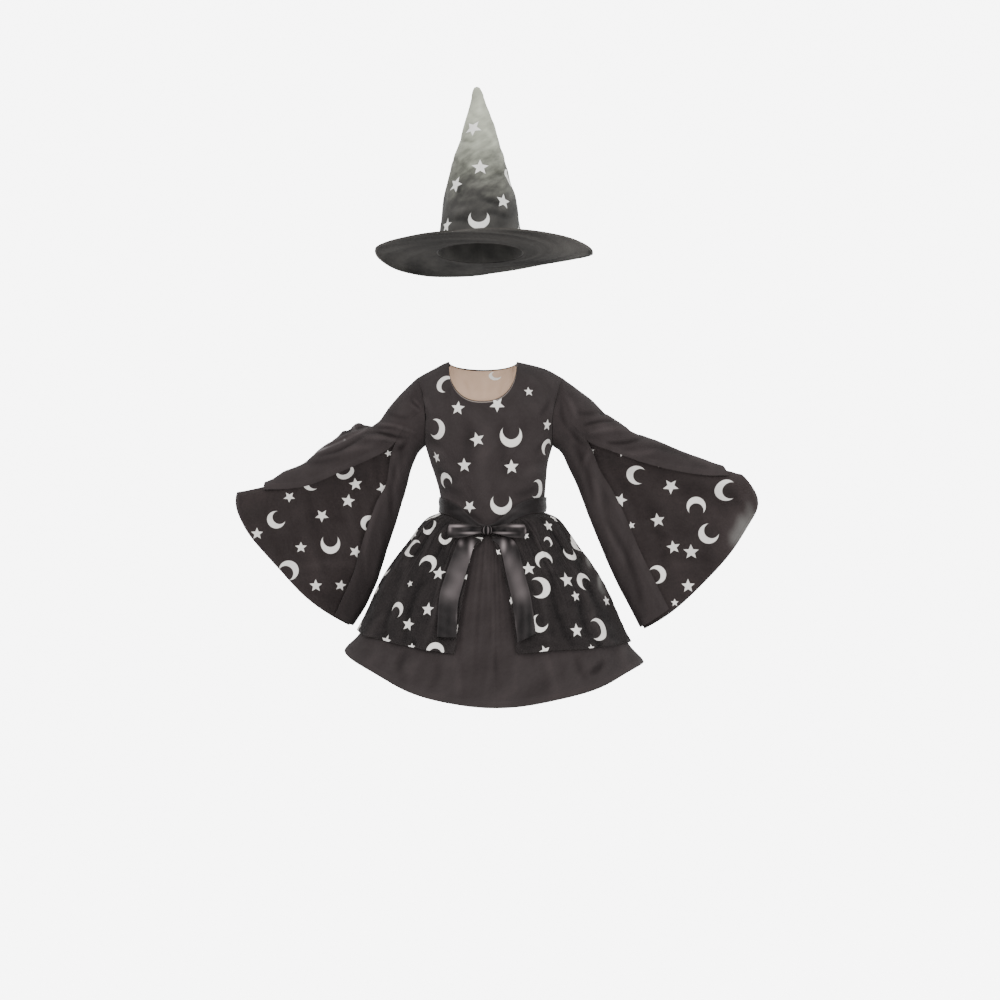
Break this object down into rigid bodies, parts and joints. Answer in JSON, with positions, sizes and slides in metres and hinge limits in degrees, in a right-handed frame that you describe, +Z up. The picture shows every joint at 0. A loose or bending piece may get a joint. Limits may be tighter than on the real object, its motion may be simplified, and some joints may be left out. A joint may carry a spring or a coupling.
{
  "type": "witch costume",
  "caption": "Child's dress with slit bell sleeves, a gathered overskirt open in front and a satin bow, with its pointed wide-brimmed hat set above it as worn.",
  "frame": {"origin": "middle of the neck opening at shoulder height, where the dress hangs from the wearer's shoulders", "axes": "+Z up, -Y the front of the costume, +X the wearer's left"},
  "size_m": [0.9319, 0.3922, 1.0943],
  "materials": {
    "printed_knit": "matt black knit with silver stars and crescents",
    "plain_knit": "matt black knit",
    "printed_mesh": "fine black mesh with silver stars and crescents",
    "nude_mesh": "fine skin-toned mesh",
    "dark_satin": "dark satin sheen",
    "grey_felt": "crumpled charcoal felt paling to silver grey at the tip"
  },
  "bodies": {
    "root": {"bodice_front": "printed_knit", "bodice_back": "plain_knit", "sleeve_outer_right": "plain_knit", "sleeve_outer_left": "plain_knit", "underskirt_front": "plain_knit", "underskirt_back": "plain_knit", "sleeve_mesh_right": "printed_mesh", "sleeve_mesh_left": "printed_mesh", "overskirt_right": "printed_mesh", "overskirt_left": "printed_mesh", "overskirt_back": "printed_mesh", "yoke_front": "nude_mesh", "sash": "dark_satin", "bow_knot": "dark_satin", "bow_loop_right": "dark_satin", "bow_loop_left": "dark_satin", "bow_tail_right": "dark_satin", "bow_tail_left": "dark_satin", "hat_cone": "grey_felt", "hat_brim": "grey_felt"}
  },
  "joints": []
}
